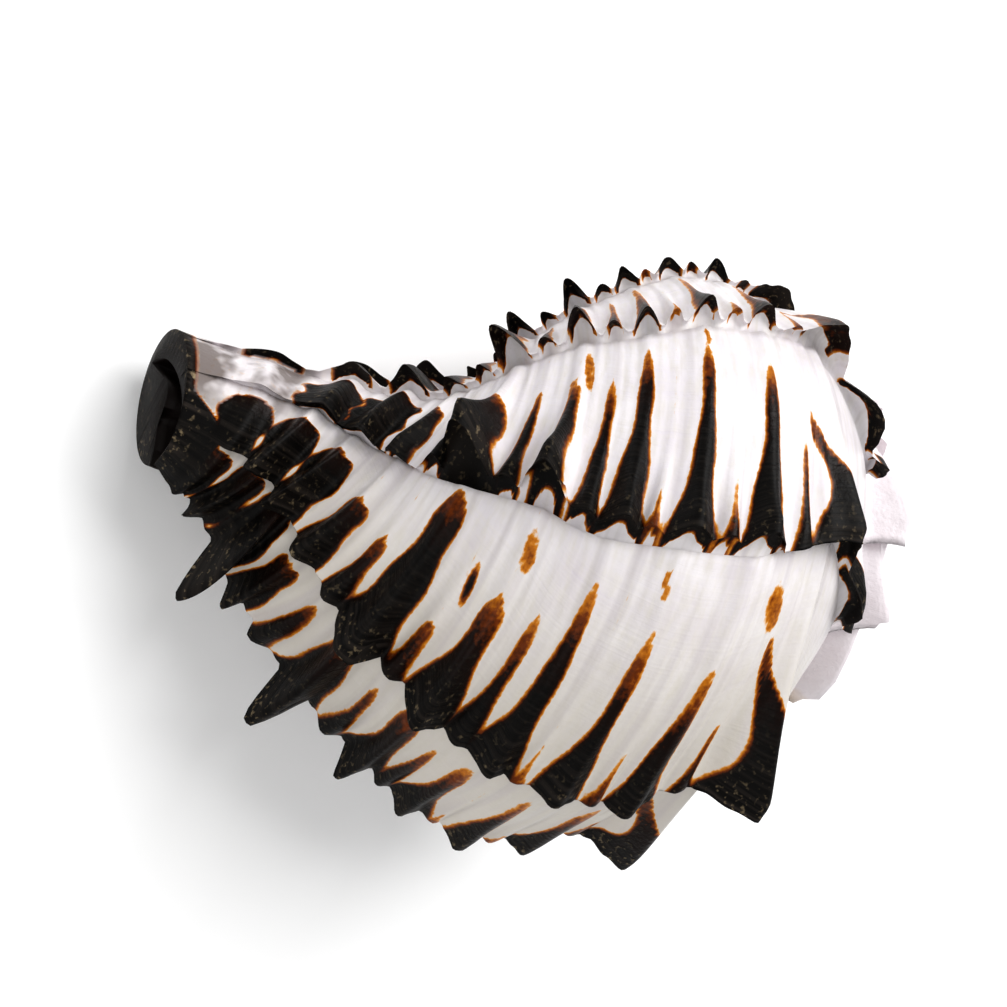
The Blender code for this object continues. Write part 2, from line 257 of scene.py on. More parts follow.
# %% Columns of one turn, and rows of the profile
STEP_ANGLE = 0.020
APPROACH_COLUMNS = (18, 18, 18, 18, 24, 22, 32, 32, 26)
CROWDING = 1.5
UNDER_STEPS = (0.10, 0.25, 0.42, 0.60, 0.80, 1.0)
FIRST_SHARE = 0.004
# row spacing on the ramp, and from just above the shoulder on
BODY_SPACING = (0.020, 0.0088)
ABOVE_SHOULDER = 0.15
# the last row stops this far short of the profile's end
HAIR = 1e-6


def turn_columns(approach):
    """One turn's columns: angle, lip angle, share of the way there, share of the way under, lip.

    The share of the way is one less a power of what is left, so the columns crowd at the lip.
    """
    columns = []
    before = TURN_START
    for lip, (angle, count) in enumerate(zip(LIP_ANGLES, approach)):
        share = 1.0 - (1.0 - np.linspace(0.0, 1.0, count + 1)[1:]) ** CROWDING
        share = np.append(FIRST_SHARE, share)
        start = before + STEP_ANGLE
        columns += [(start + s * (angle - start), angle, s, 0.0, lip) for s in share]
        columns += [(angle + u * STEP_ANGLE, angle, 1.0, u, lip) for u in UNDER_STEPS]
        before = angle
    return np.array(columns)


def upright(columns):
    """The five numbers of each column as upright arrays, with the lips as whole numbers."""
    angle, lip_angle, share, under, lip = columns.T[:, :, None]
    return angle, lip_angle, share, under, lip.astype(int)


def profile_rows(ramp_spacing, spacing):
    """Stations of the rows, and how many of them lie above the next turn's seam."""
    change = AT["shoulder"] - ABOVE_SHOULDER
    ramp = np.linspace(0.0, change, max(2, round(change / ramp_spacing)), endpoint=False)
    above = np.linspace(change, SEAM_COVER, round((SEAM_COVER - change) / spacing), endpoint=False)
    end = STATIONS[-1] - HAIR
    below = np.linspace(SEAM_COVER, end, round((end - SEAM_COVER) / spacing) + 1)
    return np.concatenate([ramp, above, below]), len(ramp) + len(above)


body_columns = turn_columns(APPROACH_COLUMNS)
body_rows, body_cover = profile_rows(*BODY_SPACING)
print("body grid:", len(body_columns), "columns by", len(body_rows), "rows")

# %% [markdown]
# ## Cords, frills and spines
#
# Where a cord meets an old lip, the lip was pushed out into a hollow spine. Seen along the cord,
# the shell climbs slowly, swells, and ends in a point. Seen from the front, the spine is an open
# scoop. Most spines lean forward, those of one lip curl back like hoods, and the low ones of the
# last lip are slim fingers. No two are alike, so a fixed seed varies a table of sizes by cord,
# and a short list changes the few spines that stand out.

# %% Size and lean of each spine, by old lip and cord
SPINE_HEIGHT_SHARE = 0.72
HEIGHT_VARIES = 0.16
SIDE_VARIES = 0.30
WIDTH_VARIES = 0.08
SHOULDER_SPINES = np.array([1.0, 1.0, 1.0, 1.0, 0.85, 0.80, 0.85, 1.30, 1.30])

# spines that stand out: lips, first cord, cord after the last, shares of usual height and width
SPINE_CHANGES = (
    (slice(LIP_B, LIP_D), "seam", "shoulder", 1.6, 1.0),
    (slice(LIP_A, LIP_C), "second", "neck", 1.15, 0.72),
    (LIP_C, "shoulder", "below shoulder", 0.75, 1.0),
    (LIP_C, "fifth", "fifth minor", 1.70, 1.0),
    (LIP_C, "sixth", "sixth minor", 1.6675, 1.0),
    (slice(LIP_D, LIPS), "below shoulder", "fifth", 0.75, 1.0),
    (LIP_E, "fourth", "fourth minor", 1.00, 0.90),
    (LIP_E, "fifth", "fifth minor", 1.05, 0.70),
    (LIP_E, "sixth", "sixth minor", 1.20, 0.52),
    (LIP_E, "neck", "canal upper", 0.80, 0.80),
    (LIP_E, "canal upper", "canal lower", 1.08, 0.64),
    (LIP_E, "canal lower", "canal minor", 0.50, 0.60),
    (LIP_E, "canal minor", "canal end", 0.50, 0.80),
)
luck = np.random.default_rng(11)
every_spine = (LIPS, len(CORDS))


def vary(amount, shape):
    """Random numbers between minus and plus the amount."""
    return amount * luck.uniform(-1.0, 1.0, shape)


spine_height = SPINE_HEIGHT_SHARE * CORDS[:, TALL] * (1.0 + vary(HEIGHT_VARIES, every_spine))
spine_height[:, CORD["shoulder"]] *= SHOULDER_SPINES
spine_side = vary(SIDE_VARIES, every_spine)
spine_side[LIP_E, CORD["canal upper"]] -= 0.55
spine_width = CORDS[:, WIDE] * (1.0 + vary(WIDTH_VARIES, every_spine))
for lips, first, after, height_share, width_share in SPINE_CHANGES:
    spine_height[lips, CORD[first]:CORD[after]] *= height_share
    spine_width[lips, CORD[first]:CORD[after]] *= width_share

# how far the tip goes along the growth, as a share of its height: curled back where below zero
FORWARD_SHARE = 0.35
SLIGHTLY_BACK = -0.30
CURLED_BACK = -0.75
hooded = slice(CORD["second"], CORD["neck"])
forward_share = np.full(every_spine, FORWARD_SHARE)
forward_share[LIP_A:LIP_C, hooded] = SLIGHTLY_BACK
forward_share[LIP_C, hooded] = CURLED_BACK
print("tallest spine:", round(MILLIMETRES * float(spine_height.max()), 1), "mm")

# %% [markdown]
# The outline of a spine's rim is a crest: a blunt point, a round hood or something between. The
# rim is a little lower than the shell just behind it on some lips, and how far back a spine
# reaches depends on its cord. Small waves with random phases make the rims ragged.

# %% Outline and reach of each spine
bluntness = np.full(every_spine, 1.25)
bluntness[:, CORD["shoulder"]] = 1.08
for name in ("sixth", "canal upper", "canal lower"):
    bluntness[:LIP_E, CORD[name]] = 1.7

# how far the crest is a round hood, from 0 to 1
ROUND_HOODS = np.array([0.4, 0.4, 0.4, 0.6, 0.8, 0.8, 0.25, 0.15, 0.0])
round_hoods = np.tile(ROUND_HOODS[:, None], (1, len(CORDS)))
round_hoods[LIP_C, CORD["fifth"]:CORD["neck"]] = 0.8

# how far behind the lip the height fades, longer on the cords with tall spines
TALL_SPINE = 0.1
spine_reach = np.tile(np.where(CORDS[:, TALL] > TALL_SPINE, 0.17, 0.14), (LIPS, 1))
spine_reach[:, CORD["shoulder"]] = 0.20
spine_reach[LIP_E, CORD["canal upper"]] *= 0.55

RIM_SHARE = np.array([0.8, 0.8, 0.8, 0.8, 0.9, 0.9, 0.72, 0.9, 1.0])
RAG_PITCHES = (43.0, 71.0, 118.0)
rag_phase = luck.uniform(0.0, FULL_TURN, (LIPS, len(RAG_PITCHES)))
print("longest reach:", round(MILLIMETRES * float(spine_reach.max()), 1), "mm")

# %% [markdown]
# Each spine is a height added along the normal: it fades with the distance behind the lip and to
# both sides of its cord. Neighbouring spines are joined with a soft maximum, so no seam shows
# between them. The height could be sculpted by hand, but a formula keeps every turn alike and
# lets the earlier, worn turns use the same lines with blunter numbers.

# %% Frills and spines
# heights, widths and reaches are shares of the shell's radius, and the powers shape the curves
FRILL_HEIGHT = 0.028
FRILL_REACH = 0.10
SEAM_FADE = 0.12
BLEND_POWER = 4.0
RAGGED = 0.005
RAG_FULL_HEIGHT = 0.05
RAG_LEAST = 0.2
NEAR_RIM = 0.03
WIDTH_BEHIND = 0.62
WIDTH_FADE = 0.20
WAVE_BEHIND = 0.05
POINT_POWER = 1.15
HOOD_POWER = 0.9
FADE_POWER = 1.4
RIM_FADE = 0.05
LEAN_EVENING = 0.3
AHEAD_EVENING = 0.05
# what full wear does: a lower rim, a longer fade behind it and a longer reach
WORN_RIM = 0.45
WORN_RIM_FADE = 0.10
WORN_REACH = 0.8


def frill(back, station, lip, worn=0.0):
    """Soft maximum over the cords of height times fading times a crest, on top of a low frill.

    The fading is an exponential of the distance behind the lip. The crest is a point or a hood
    at the lip and a rounder wave behind it, and wear turns it all into a hood. The second result
    is the sideways lean, and the third is the share that goes forward: both are the crests'
    weighted means.
    """
    back = back[..., None]
    away = np.abs(station[..., None] - STATIONS) / spine_width[lip]
    width = WIDTH_BEHIND + (1.0 - WIDTH_BEHIND) * np.exp(-back / WIDTH_FADE)
    away = np.clip(away / width, 0.0, 1.0)
    behind = 1.0 - np.exp(-back / WAVE_BEHIND)
    point = 1.0 - np.clip(1.0 - bluntness[lip] * (1.0 - away), 0.0, 1.0) ** POINT_POWER
    dome = np.cos(0.5 * math.pi * away)
    hood = round_hoods[lip] + worn * (1.0 - round_hoods[lip])
    crest = (1.0 - behind) * (hood * dome ** HOOD_POWER + (1.0 - hood) * point)
    crest = crest + behind * dome ** 2
    rim = RIM_SHARE[lip][..., None] * (1.0 - WORN_RIM * worn)
    reach = spine_reach[lip] * (1.0 + WORN_REACH * worn)
    fading = np.exp(-(back / reach) ** FADE_POWER)
    fading = fading * (rim + (1.0 - rim) * smooth_step(back / (RIM_FADE + WORN_RIM_FADE * worn)))
    points = spine_height[lip] * fading * crest
    joined = np.sum(points ** BLEND_POWER, axis=-1) ** (1.0 / BLEND_POWER)
    crests = np.sum(crest, axis=-1)
    lean = np.sum(crest * spine_side[lip], axis=-1) / (LEAN_EVENING + crests)
    ahead = np.sum(crest * forward_share[lip], axis=-1) + AHEAD_EVENING * FORWARD_SHARE
    ahead = ahead / (AHEAD_EVENING + crests)
    waves = sum(np.sin(pitch * station + rag_phase[lip, k]) for k, pitch in enumerate(RAG_PITCHES))
    rag = RAGGED * waves * np.clip(joined / RAG_FULL_HEIGHT, RAG_LEAST, 1.0)
    rag = rag * np.exp(-back[..., 0] / NEAR_RIM)
    low = FRILL_HEIGHT * np.exp(-back[..., 0] / FRILL_REACH) + 0.5 * rag
    fade = smooth_step(station / SEAM_FADE) * smooth_step((STATIONS[-1] - station) / SEAM_FADE)
    return (low + joined) * fade, lean, ahead


print("low frill:", round(MILLIMETRES * FRILL_HEIGHT, 1), "mm")

# %% [markdown]
# Between the lips the cords go on as low ridges, with a finer one between each two. On the white
# parts they are what the light catches.

# %% Ridges along the cords
CORD_HEIGHT = 0.014
RIDGED = slice(CORD["shoulder"], -1)
RIDGE_HALF = 0.05
MAJOR_SPINE = 0.05
MINOR_RIDGE = 0.4
FINE_RIDGE = 0.45


def humps(station, places, half):
    """Squared cosine humps of a half width at the places."""
    away = np.clip(np.abs(station[..., None] - places) / half, 0.0, 1.0)
    return np.cos(0.5 * math.pi * away) ** 2


def cord_ridges(station):
    """Low ridges along the cords: a hump on each, lower on minor ones, and a fine one between."""
    cords = STATIONS[RIDGED]
    strength = np.where(CORDS[RIDGED, TALL] > MAJOR_SPINE, 1.0, MINOR_RIDGE)
    on_cords = np.sum(humps(station, cords, RIDGE_HALF) * strength, axis=-1)
    between = np.sum(humps(station, 0.5 * (cords[:-1] + cords[1:]), 0.5 * RIDGE_HALF), axis=-1)
    return CORD_HEIGHT * (on_cords + FINE_RIDGE * between)


print("ridges:", round(MILLIMETRES * CORD_HEIGHT, 1), "mm")

# %% [markdown]
# The outer surface adds all this up. Its columns cross the lip and run back under it, so each
# frill has a hollow inside as well as an outside.

# %% The outer surface
HOLLOW_SHARE = 0.60
HOLLOW_PER_RADIUS = 1.6
HOLLOW_POWER = 1.5
UNDER_POWER = 1.4
TONGUE = 0.022
FROM_SEAM = 0.5


def outer_surface(columns, station, turns_back=0, spines=1.0, shift=0.0, worn=0.0):
    """Plain surface plus relief along its normal, ahead along the growth and aside.

    Under a frill the height falls by a power of the share of the way under, and a sine of that
    share draws the surface back into a hollow. Low places between spines end in a small tongue.
    """
    angle, lip_angle, _, under, lip = upright(columns)
    angle = angle - turns_back * FULL_TURN + shift
    lip_angle = lip_angle - turns_back * FULL_TURN + shift
    lip = np.broadcast_to(lip, (len(columns), len(station)))
    station = np.broadcast_to(station, lip.shape)
    here, normal, forward, down = directions(angle, station)
    size = growth(angle + lean_back(angle, station))[..., None]
    radius = through_cords(station, RADIUS)
    back = np.maximum(lip_angle - angle, 0.0) * radius
    edge, lean, ahead_share = frill(back, station, lip, worn)
    edge = edge * spines
    height = edge * (1.0 - under ** UNDER_POWER)
    hollow = HOLLOW_SHARE * np.minimum(1.0, HOLLOW_PER_RADIUS * radius)
    hollow = hollow * np.sin(math.pi * under ** HOLLOW_POWER)
    ahead = ahead_share * height - np.where(under > 0.0, edge * hollow, 0.0)
    whole = smooth_step(station / FROM_SEAM) * np.clip(spines, 0.0, 1.0) * (1.0 - under)
    ahead = ahead + TONGUE * np.exp(-edge / NEAR_RIM) * np.exp(-back / NEAR_RIM) * whole
    aside = lean * height
    height = height + cord_ridges(station) * whole
    move = height[..., None] * normal + ahead[..., None] * forward + aside[..., None] * down
    return here + size * move


print("hollow:", round(100 * HOLLOW_SHARE), "% of a spine's height")

# %% [markdown]
# ## The spire
#
# The turns before the last one show only as far down as the seam, where the next turn covers
# them. They are the same surface further back along the growth, so the same function draws them
# with fewer columns. Their shoulder spines are worn to blunt knobs, and their other cords lie
# under the next turn. Every turn starts on the wall of the turn before: close to the seam its
# points are drawn over to that wall. On the ramp of the last turn the old lips swing forwards.

# %% Grids of the last turn and the spire
SPIRE_TURNS = 3
SPIRE_SPINES = (0.6, 1.1, 2.05)
SPIRE_KNOBS = np.array([1.0, 1.0, 1.0, 1.0, 1.0, 1.4, 1.35, 0.8, 1.0])
SPIRE_LEANS = np.radians([-8.0, -8.0, -8.0, -8.0, -8.0, -16.0, -3.0, -20.0, -8.0])
SPIRE_APPROACH = (6, 6, 6, 6, 6, 5, 7, 7, 5)
SPIRE_SPACING = (0.045, 0.0185)
FULLY_WORN = 1.0
SEAM_WIDTH = 0.16
RAMP_SWING = math.radians(22.0)
# stations between which the ramp swings, each with the length of its fade, and a fade in angle
RAMP_SWINGS_OVER = (0.0, 0.10, 0.20, 0.40)
RAMP_SWING_STARTS = 0.8


def on_canal(station):
    """Zero on the whorl and one from the canal's first cord on."""
    return smooth_step((station - AT["neck"]) / (AT["canal upper"] - AT["neck"]))


def slit_shift(angle, station):
    """Turn that keeps the canal's inner edge clear of its outer edge, fading away from the slit."""
    return SLIT_WIDTH / through_cords(station, RADIUS) * on_canal(station) * (1.0 - from_slit(angle))


def ramp_shift(angle, station):
    """Turn of the lips on the ramp: a smooth hump over its stations, fading at both ends."""
    starts = smooth_step((angle - TURN_START) / RAMP_SWING_STARTS)
    ends = 1.0 - smooth_step((angle - LIP_ANGLES[LIP_C]) / (LAST_LIP - LIP_ANGLES[LIP_C]))
    return RAMP_SWING * window(station, *RAMP_SWINGS_OVER) * starts * ends


def to_seam(angle, station):
    """Move onto the turn before: the gap at the seam times one less a smooth step of the station."""
    gap = plain_surface(angle - FULL_TURN, SEAM_COVER) - plain_surface(angle, 0.0)
    return gap * (1.0 - smooth_step(station / SEAM_WIDTH))[..., None]


def spire_turn(columns, station, turn):
    """One early turn: the outer surface with knobs, drawn to the turn before where there is one.

    Knobs and lean are one at the shoulder and fade to the seams above and below it. The lean
    runs evenly from lip to lip, because a sudden change would fold the surface.
    """
    angle, _, _, _, lip = upright(columns)
    back = SPIRE_TURNS - turn
    shoulder = AT["shoulder"]
    at_shoulder = window(station, 0.0, shoulder, shoulder, SEAM_COVER - shoulder)
    knobs = SPIRE_SPINES[turn] * SPIRE_KNOBS[lip] * at_shoulder
    lean_angles = np.append(TURN_START, LIP_ANGLES)
    lean = np.interp(angle, lean_angles, np.append(SPIRE_LEANS[-1], SPIRE_LEANS))
    grid = outer_surface(columns, station, back, knobs, lean * at_shoulder, FULLY_WORN)
    if turn > 0:
        grid = grid + to_seam(angle - back * FULL_TURN, station)
    return grid


spire_columns = turn_columns(SPIRE_APPROACH)
spire_rows, spire_cover = profile_rows(*SPIRE_SPACING)
spire_rows = spire_rows[:spire_cover + 1]
spire_grid = np.concatenate([spire_turn(spire_columns, spire_rows, k) for k in range(SPIRE_TURNS)])
spire_grid = spire_grid[:-1]

# the last turn starts with its own last column, one turn back
turn_start = body_columns[-1:] - np.array([FULL_TURN, FULL_TURN, 0.0, 0.0, 0.0])
all_columns = np.concatenate([turn_start, body_columns])
turn_angle = all_columns[:, :1]
body_shift = slit_shift(turn_angle, body_rows) + ramp_shift(turn_angle, body_rows)
body_grid = outer_surface(all_columns, body_rows, shift=body_shift)
body_grid = body_grid + to_seam(turn_angle, body_rows)
under_next_turn = slice(0, body_cover + 1)
last_early = SPIRE_TURNS - 1
early_edge = spire_turn(body_columns[-1:], body_rows, last_early)
body_grid[:1, under_next_turn] = early_edge[:, under_next_turn]
print("spire grid:", spire_grid.shape[:2], "last turn grid:", body_grid.shape[:2])

# %% [markdown]
# ## The mouth
#
# Under the last turn lies the mouth, a room with the old whorl on one side and the inside of the
# last whorl on the other. Towards the canal the old whorl shrinks to a thin core, and the room
# becomes the canal's bore. Both sides are again columns of the same surface, one as it is and
# one moved inwards by the wall's thickness.

# %% Grids of the mouth's two sides
MOUTH_DEPTH = math.radians(165.0)
MOUTH_COLUMNS = 22
WALL = 0.055
LIP_WALL = 0.035
CANAL_WALL = 0.095
CORE_SHARE = 0.28
CORE_SHRINKS_OVER = 0.35
LINING_DROP = 0.17
LINING_DROP_ENDS = 0.45

mouth_back = MOUTH_DEPTH * np.linspace(0.0, 1.0, MOUTH_COLUMNS + 1)[:, None]
mouth_lip = LAST_LIP + STEP_ANGLE
old_rows = body_rows[None, body_cover + 1:]
shrink = smooth_step(mouth_back / CORE_SHRINKS_OVER) * on_canal(old_rows)
behind_slit = SLIT_WIDTH / through_cords(old_rows, RADIUS) * on_canal(old_rows)
core_angle = mouth_lip - FULL_TURN - mouth_back + behind_slit
core_grid = plain_surface(core_angle, old_rows, 1.0 - (1.0 - CORE_SHARE) * shrink)

lining_rows = body_rows + LINING_DROP * np.clip(1.0 - body_rows / LINING_DROP_ENDS, 0.0, 1.0)
wall = np.where(mouth_back > 0.0, WALL, LIP_WALL)
canal = on_canal(body_rows)[None, :]
thickness = wall + (CANAL_WALL - wall) * canal
place, outward, _, _ = directions(mouth_lip - mouth_back, lining_rows[None, :])
mouth_size = growth(mouth_lip - mouth_back)
lining_grid = place - outward * (thickness * (mouth_size * (1.0 - canal) + canal))[..., None]
print("mouth grids:", core_grid.shape[:2], lining_grid.shape[:2])

# %% [markdown]
# ## Where the colour lies
#
# The snail's mantle lays down dark pigment under the cords. After each lip the new shell is
# white. Some way on a cord starts a stripe, narrow and amber, which gets wider and darker until
# the next lip, where nearly the whole cord is black. A painted picture would blur and would not
# fit the other sides. So every point gets one number instead: how deep it lies inside a stripe.
# Zero is the stripe's edge, and one is solid black.

# %% Table of the stripes
# cord: share of the way between two lips where its stripe starts, its half width at the lip,
# how blunt its start is, and how dark it starts
STRIPES = {
    "ramp upper": (0.86, 0.074, 0.90, 0.90),
    "ramp lower": (0.84, 0.092, 0.90, 0.90),
    "shoulder": (0.42, 0.132, 0.16, 0.20),
    "below shoulder": (0.76, 0.036, 0.30, 0.20),
    "second": (0.25, 0.072, 0.28, 0.08),
    "second minor": (0.78, 0.028, 0.20, 0.12),
    "third": (0.17, 0.068, 0.30, 0.08),
    "third minor": (0.84, 0.024, 0.20, 0.12),
    "fourth": (0.14, 0.066, 0.30, 0.10),
    "fourth minor": (0.31, 0.042, 0.36, 0.12),
    "fifth": (0.40, 0.080, 0.42, 0.22),
    "fifth minor": (0.45, 0.042, 0.40, 0.25),
    "sixth": (0.36, 0.092, 0.50, 0.25),
    "sixth minor": (0.46, 0.042, 0.55, 0.30),
    "neck": (0.36, 0.064, 0.70, 0.40),
    "canal upper": (0.20, 0.096, 0.92, 0.50),
    "canal lower": (0.20, 0.090, 0.92, 0.50),
    "canal minor": (0.20, 0.086, 0.92, 0.50),
}
# where single stripes start, by old lip and cord
SINGLE_STARTS = {
    LIP_C: {
        "shoulder": 0.46, "below shoulder": 0.60, "second": 0.19, "third": 0.12, "fourth": 0.10,
        "fourth minor": 0.30, "fifth": 0.35, "fifth minor": 0.36, "sixth": 0.45,
    },
    LIP_D: {
        "shoulder": 0.35, "second": 0.40, "third": 0.30, "fourth": 0.17, "fourth minor": 0.38,
        "fifth": 0.42, "fifth minor": 0.68, "sixth": 0.03,
    },
    LIP_E: {
        "shoulder": 0.35, "second": 0.25, "third": 0.22, "fourth": 0.18, "fourth minor": 0.30,
        "fifth": 0.14, "fifth minor": 0.30, "sixth": 0.06, "sixth minor": 0.25, "neck": 0.22,
        "canal upper": 0.04, "canal lower": 0.10,
    },
}
# lone spots: old lip, share of the way, station, half length as a share, half width, depth
SPOTS = (
    (LIP_D, 0.19, 1.455, 0.10, 0.020, 0.22),
    (LIP_D, 0.14, 1.100, 0.06, 0.012, 0.16),
    (LIP_D, 0.24, 0.751, 0.10, 0.030, 0.24),
    (LIP_C, 0.08, 1.079, 0.05, 0.012, 0.20),
    (LIP_C, 0.24, 1.440, 0.14, 0.016, 0.22),
    (LIP_C, 0.42, 1.480, 0.10, 0.014, 0.20),
    (LIP_D, 0.46, 1.560, 0.12, 0.014, 1.00),
)
START_VARIES = 0.08
STRIPE_WIDTH_VARIES = 0.12
LATE_START = 0.83
STRIPE = {name: number for number, name in enumerate(STRIPES)}
striped = np.array([CORD[name] for name in STRIPES])
every_stripe = (LIPS, len(STRIPES))
stripe_start, stripe_width, stripe_blunt, stripe_dark = np.array(list(STRIPES.values())).T
stripe_start = stripe_start + vary(START_VARIES, every_stripe) * (stripe_start < LATE_START)
stripe_width = stripe_width * (1.0 + vary(STRIPE_WIDTH_VARIES, every_stripe))
stripe_width[LIP_A:LIP_C, STRIPE["shoulder"]:] *= 0.75
stripe_width[LIP_B, STRIPE["below shoulder"]:STRIPE["sixth minor"]] *= 0.80
stripe_width[LIP_C, STRIPE["fifth"]] = 0.052
for lip, starts in SINGLE_STARTS.items():
    for name, start in starts.items():
        stripe_start[lip, STRIPE[name]] = start
wave_phase = luck.uniform(0.0, FULL_TURN, every_stripe)
print("stripes:", len(STRIPES), "cords on", LIPS, "lips, and", len(SPOTS), "lone spots")

# %% [markdown]
# The black ends under each spine in an arch, which the open hoods show: it reaches deeper at the
# sides than in the middle, and deepest on the lip whose spines curl back. The canal's end is
# black all round, and its black starts later on the side where it has worn off.

# %% Stripes
EDGE_WIDTH = 0.016
AMBER_LENGTH = np.full(LIPS, 0.32)
AMBER_LENGTH[LIP_B] = 0.80
SHOULDER_STRIPE_DROP = 0.11
DROP_ENDS = 1.3
NOSE_LENGTH = 0.30
LEAST_HALF = 1e-3
WIDENING_POWER = 2.8
WAVE_SHARE = 0.10
WAVES = 24.0
SOLID = 2.0
ARCH_MIDDLE = 0.60
ARCH_SIDES = 0.38
ARCH_FADE = 0.04
ARCH_OFFSET = 0.2
SPOT_DEPTH = 1.2
SPOT_SLANT = 0.5
PIGMENT_RANGE = (-4.0, 1.6)
BLACK_FROM = 0.7
COLLAR = 2.50
WORN_COLLAR = 0.125
# angles between which the canal's end is worn, each with the length of its fade
COLLAR_WORN_OVER = (-0.3, 0.5, 1.55, 0.5)

arch_drop = np.zeros(every_stripe)
arch_drop[LIP_C] = 0.19
arch_drop[LIP_C, [STRIPE["fifth"], STRIPE["fifth minor"]]] = 0.29
arch_drop[LIP_C, STRIPE["sixth"]] = 0.50


def collar_start(angle):
    """Station where the black end of the canal begins, later on the side where it is worn pale."""
    return COLLAR + WORN_COLLAR * window(angle, *COLLAR_WORN_OVER)


def pigment(columns, station):
    """Deepest stripe at each point: half width less distance from the cord, over the edge width.

    The half width is an ellipse's nose plus a power of the share since the stripe's start, with a
    slow wave on it. The depth also grows with the distance since the start over the amber length.
    Under a spine it falls off past an arch, which is a middle value plus the square of the
    distance from the cord as a share of the half width.
    """
    angle, _, share, under, lips = upright(columns)
    lip = lips[:, 0]
    start = stripe_start[lip]
    since = np.clip((share - start) / (1.0 - start), 0.0, 1.0)
    nose = np.sqrt(1.0 - (1.0 - np.clip(since / NOSE_LENGTH, 0.0, 1.0)) ** 2)
    rooted = stripe_blunt * nose + (1.0 - stripe_blunt) * since ** WIDENING_POWER
    spacing = np.gradient(np.append(TURN_START, LIP_ANGLES))[1:][lips]
    travelled = (share - start) * spacing
    wavy = 1.0 + WAVE_SHARE * np.sin(WAVES * travelled + wave_phase[lip])
    half = (stripe_width[lip] * rooted * wavy)[:, None, :]
    drop = SHOULDER_STRIPE_DROP * (1.0 - smooth_step(DROP_ENDS * since))
    drop = drop * (striped == CORD["shoulder"])
    away = np.abs(station[None, :, None] - STATIONS[striped] - drop[:, None, :])
    reached = np.where(travelled > 0.0, stripe_dark + travelled / AMBER_LENGTH[lips], SOLID)
    depth = np.minimum((half - away) / EDGE_WIDTH, reached[:, None, :])
    arch = ARCH_MIDDLE + ARCH_SIDES * np.clip(away / np.maximum(half, LEAST_HALF), 0.0, 1.0) ** 2
    arch = arch + arch_drop[lip][:, None, :]
    depth = np.minimum(depth, (arch - under[..., None]) / ARCH_FADE + ARCH_OFFSET)
    deepest = depth.max(axis=-1)
    deepest = np.maximum(deepest, (station - collar_start(angle)) / EDGE_WIDTH)
    for spot_lip, spot_share, spot_station, length, width, strength in SPOTS:
        along = (share - spot_share) / length
        across = (station - spot_station) / width
        spot = SPOT_DEPTH * (1.0 - np.hypot(along, across + SPOT_SLANT * along))
        spot = np.minimum(spot, strength)
        deepest = np.where(lips == spot_lip, np.maximum(deepest, spot), deepest)
    return np.clip(deepest, *PIGMENT_RANGE)


body_pigment = pigment(all_columns, body_rows)
black_share = float((body_pigment > BLACK_FROM).mean())
print("share of the last turn that is black:", round(black_share, 2))

# %% [markdown]
# ## Numbers for wear and for growth lines
#
# More numbers go with each point. Wear is high on the tips of the spines and on the old knobs of
# the spire, where the surface has chipped and turned chalky. The lining is one inside the mouth.
# Bleach is one on the chalky spire and near a half on the pale patch of the canal, where the
# black has rubbed off. Late shade is one on the youngest part, whose white gets a painted
# shade, greyer and warmer. The last is a map: millimetres behind the lip one way and along
# the profile the other way, so that fine growth lines can run exactly as the lip once did.

# %% Wear, the canal's patch and the growth map
LIP_OFFSET = 60.0
WEAR_HEIGHT = 0.10
WEAR_REACH = 0.06
WEAR_LOST_UNDER = 0.8
JUST_WHITE = -0.12
# angles and stations of the patch and of the bare field between two lips, with their fades
PATCH_ANGLES = (-0.5, 0.6, 1.35, 0.6)
PATCH_START = AT["canal lower"] + 0.02
PATCH_FADE = 0.16
BARE_ANGLES = (LIP_ANGLES[LIP_B] + 0.06, 0.08, LIP_ANGLES[LIP_C] + 0.02, 0.02)
BARE_START = AT["canal lower"] + 0.07
BARE_FADE = 0.05
BARE_ENDS_ABOVE_COLLAR = 0.03
BARE_END_FADE = 0.04


def wear(columns, station):
    """Frill height over a tenth, fading within a few hundredths behind the lip and under it."""
    angle, lip_angle, _, under, lip = upright(columns)
    back = (lip_angle - angle).clip(0.0) * through_cords(station, RADIUS)
    lip = np.broadcast_to(lip, back.shape)
    edge, _, _ = frill(np.zeros_like(back), np.broadcast_to(station, back.shape), lip)
    tips = np.clip(edge / WEAR_HEIGHT, 0.0, 1.0) * np.exp(-back / WEAR_REACH)
    return tips * (1.0 - WEAR_LOST_UNDER * under)


def canal_patch(angle, station):
    """The pale patch and the bare field in it, each a window of the angle times one of the station."""
    patch = window(angle, *PATCH_ANGLES) * smooth_step((station - PATCH_START) / PATCH_FADE)
    bare_end = collar_start(angle) - BARE_ENDS_ABOVE_COLLAR
    bare = window(angle, *BARE_ANGLES) * window(station, BARE_START, BARE_FADE, bare_end, BARE_END_FADE)
    return np.maximum(patch, bare), bare


def growth_map(columns, station):
    """Millimetres behind the lip plus an offset for each lip, and millimetres along the profile."""
    angle, lip_angle, _, _, lip = upright(columns)
    back = (lip_angle - angle) * through_cords(station, RADIUS) * MILLIMETRES
    across = LIP_OFFSET * lip - back
    return np.stack([across, np.broadcast_to(station * MILLIMETRES, across.shape)], axis=-1)


patch, bare = canal_patch(turn_angle, body_rows)
body_pigment = np.where(bare > 0.5, np.minimum(body_pigment, JUST_WHITE), body_pigment)
body_pigment = np.where(patch > 0.5, np.maximum(body_pigment, JUST_WHITE), body_pigment)
print("growth lines run over", round(LIP_OFFSET * LIPS), "mm of map")

# %% [markdown]
# ## One closed surface
#
# The grids share their edges. Numbers for the shared points are worked out first, and then every
# grid turns into quads at once. Where two edges have different numbers of points, such as the
# fine last turn and the coarser spire, a strip of triangles joins them: each step along one edge
# makes a triangle with the nearest point of the other.

